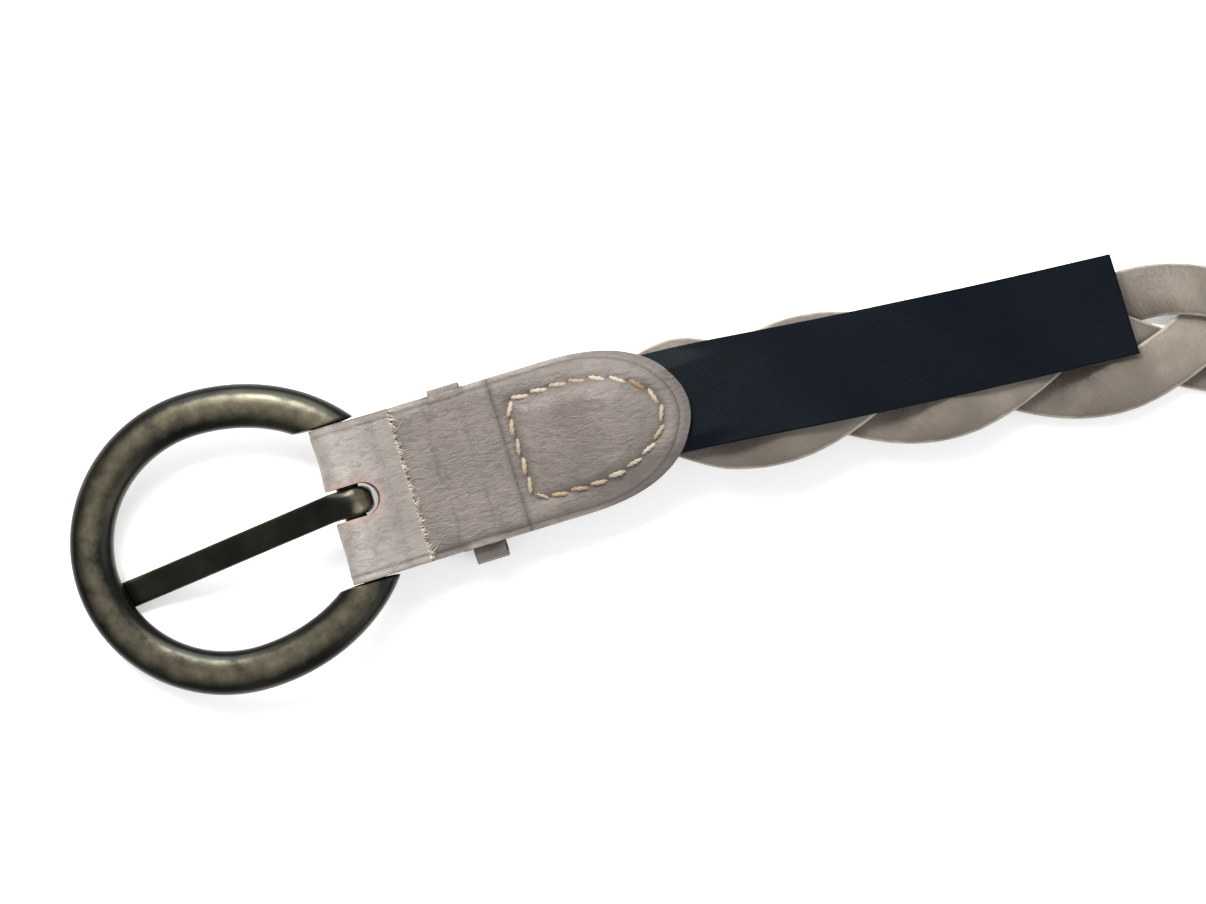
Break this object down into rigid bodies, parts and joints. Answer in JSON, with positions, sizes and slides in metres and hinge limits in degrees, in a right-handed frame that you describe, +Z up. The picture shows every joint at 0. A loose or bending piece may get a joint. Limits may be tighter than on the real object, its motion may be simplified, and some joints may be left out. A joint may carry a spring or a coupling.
{
  "type": "braided leather waist belt",
  "caption": "Braided leather waist belt with an oval ring buckle, hinged tongue, stitched chape, keeper loop, plain satin label and a rounded stitched tip.",
  "frame": {"origin": "bottom centre of the whole belt's box, on the surface that the belt lies on", "axes": "+X from the buckle to the tip, +Y across the belt, +Z up, out of the face that is worn against the body"},
  "size_m": [0.9646, 0.086, 0.0216],
  "materials": {
    "antique_brass": "dark antique brass, rubbed bright on its raised edges",
    "panel_leather": "taupe smooth leather with a fine grain and painted edges",
    "strand_leather": "pale beige leather with soft creases",
    "dark_satin": "dark blue-black woven satin ribbon",
    "sewing_thread": "twisted cream and tan sewing thread"
  },
  "bodies": {
    "belt": {"chape_strap": "panel_leather", "keeper_loop": "panel_leather", "keeper_cover": "panel_leather", "end_patch": "panel_leather", "strand_1": "strand_leather", "strand_2": "strand_leather", "strand_3": "strand_leather", "satin_label": "dark_satin", "tip_front": "panel_leather", "tip_back": "panel_leather", "chape_seam_inner": "sewing_thread", "chape_seam_outer": "sewing_thread", "tip_seam": "sewing_thread"},
    "frame": {"buckle_frame": "antique_brass"},
    "tongue": {"buckle_tongue": "antique_brass"}
  },
  "joints": [
    {"name": "frame_pivot", "type": "hinge", "parent": "belt", "child": "frame", "pos_m": [-0.41767, 0.00901, 0.01354], "axis": [0, 1, 0], "range_deg": [-20, 90]},
    {"name": "tongue_pivot", "type": "hinge", "parent": "frame", "child": "tongue", "pos_m": [-0.41767, 0.00901, 0.01354], "axis": [0, -1, 0], "range_deg": [0, 110]}
  ]
}
